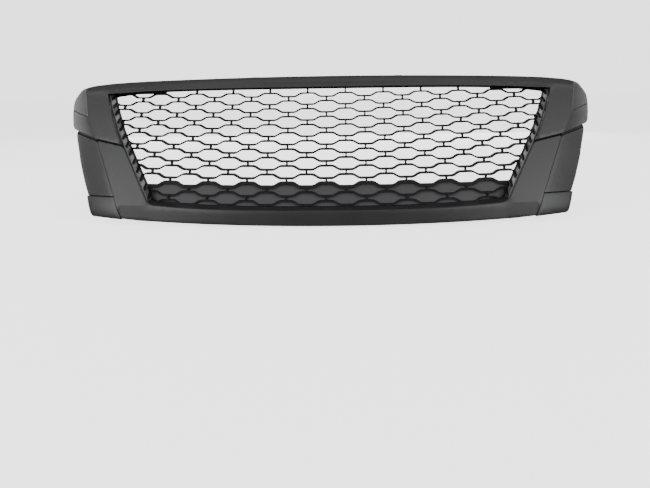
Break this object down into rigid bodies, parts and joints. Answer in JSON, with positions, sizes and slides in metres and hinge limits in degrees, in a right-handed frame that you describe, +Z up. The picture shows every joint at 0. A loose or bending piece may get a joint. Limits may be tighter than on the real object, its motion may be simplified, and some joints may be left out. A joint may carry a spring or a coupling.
{
  "type": "front grille",
  "caption": "Wide bowed front grille for a vehicle: arched upper frame, lower frame, side panels and a wavy mesh insert over a partly blanked opening.",
  "frame": {"origin": "midway between the two inner top fixing holes, in the middle of the tab's thickness", "axes": "+X right as seen from the front, -Y out of the front, +Z up"},
  "size_m": [1.158, 0.2199, 0.3067],
  "materials": {
    "frame_plastic": "satin, fine moulded grain",
    "panel_plastic": "satin, fine moulded grain",
    "mesh_plastic": "matte moulded black",
    "blank_plastic": "matte, fine grain",
    "backing_plastic": "matte, as moulded",
    "zinc_steel": "zinc plated",
    "spring_steel": "dark zinc plated sheet",
    "insert_brass": "turned, dull",
    "seal_foam": "closed-cell foam",
    "pad_rubber": "matte rubber"
  },
  "bodies": {
    "root": {"upper_frame": "frame_plastic", "lower_frame": "frame_plastic", "left_side_panel": "panel_plastic", "right_side_panel": "panel_plastic", "left_corner_panel": "panel_plastic", "right_corner_panel": "panel_plastic", "mesh_insert": "mesh_plastic", "left_opening_liner": "mesh_plastic", "right_opening_liner": "mesh_plastic", "lower_blank": "blank_plastic", "left_backing_plate": "backing_plastic", "right_backing_plate": "backing_plastic", "mesh_screws": "zinc_steel", "blank_screws": "zinc_steel", "left_plate_screws": "zinc_steel", "right_plate_screws": "zinc_steel", "top_clip_nuts": "spring_steel", "bottom_clip_nuts": "spring_steel", "side_inserts": "insert_brass", "top_seal": "seal_foam", "bottom_seal": "seal_foam", "bump_pads": "pad_rubber"}
  },
  "joints": []
}
